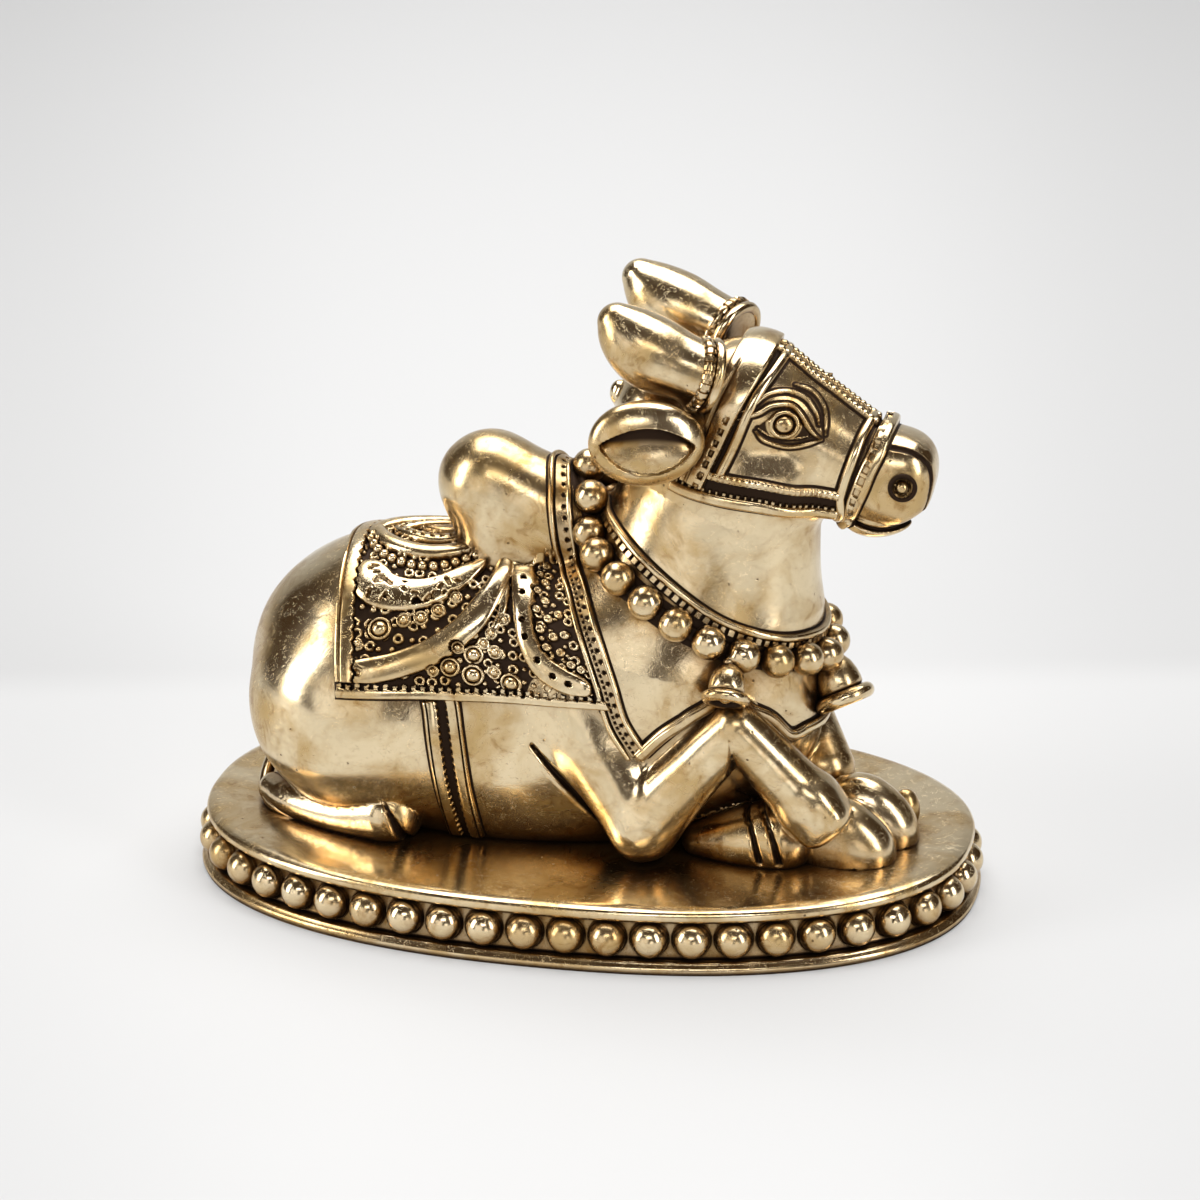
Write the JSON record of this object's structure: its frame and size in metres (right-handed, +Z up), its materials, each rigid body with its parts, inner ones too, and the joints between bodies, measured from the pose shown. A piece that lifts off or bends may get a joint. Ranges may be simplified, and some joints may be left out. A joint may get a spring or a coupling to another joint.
{
  "type": "nandi bull figure",
  "caption": "Cast brass figure of a seated humped bull with saddle cloth, halter, bead necklace and bells, on an oval plinth with a beaded edge.",
  "frame": {"origin": "centre of the plinth's underside", "axes": "+Z up, +X the way the bull faces, +Y its left side"},
  "size_m": [0.1526, 0.0934, 0.1191],
  "materials": {
    "brass": "polished, with dark patina in the recesses"
  },
  "bodies": {
    "root": {"oval_plinth": "brass", "nandi_bull": "brass"}
  },
  "joints": []
}
